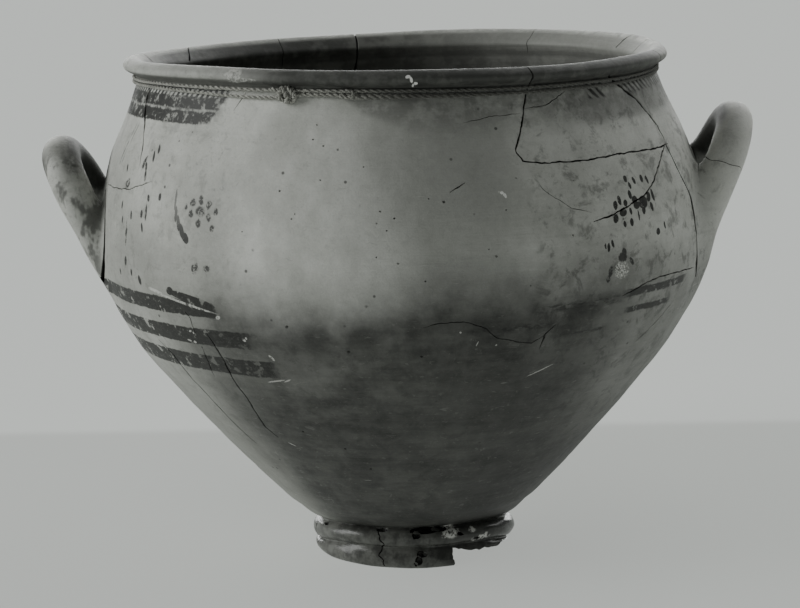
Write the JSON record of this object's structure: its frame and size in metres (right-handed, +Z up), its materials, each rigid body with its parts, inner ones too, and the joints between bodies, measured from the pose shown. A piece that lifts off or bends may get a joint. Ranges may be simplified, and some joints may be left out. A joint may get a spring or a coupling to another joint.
{
  "type": "krater",
  "caption": "Wide-mouthed fired clay mixing bowl on a low ring foot, with an everted lip and round loop handles, mended from sherds and bound under the lip with knotted twine.",
  "frame": {"origin": "on the resting plane of the foot, under the middle of the whole outline", "axes": "+Z up, +X towards the right-hand handle, -Y the front with the knot and the broken part of the foot"},
  "size_m": [0.4338, 0.3738, 0.3157],
  "materials": {
    "clay": "matte, worn and stained fired clay",
    "twine": "matte twisted fibre"
  },
  "bodies": {
    "root": {"krater": "clay", "binding_string": "twine"}
  },
  "joints": []
}
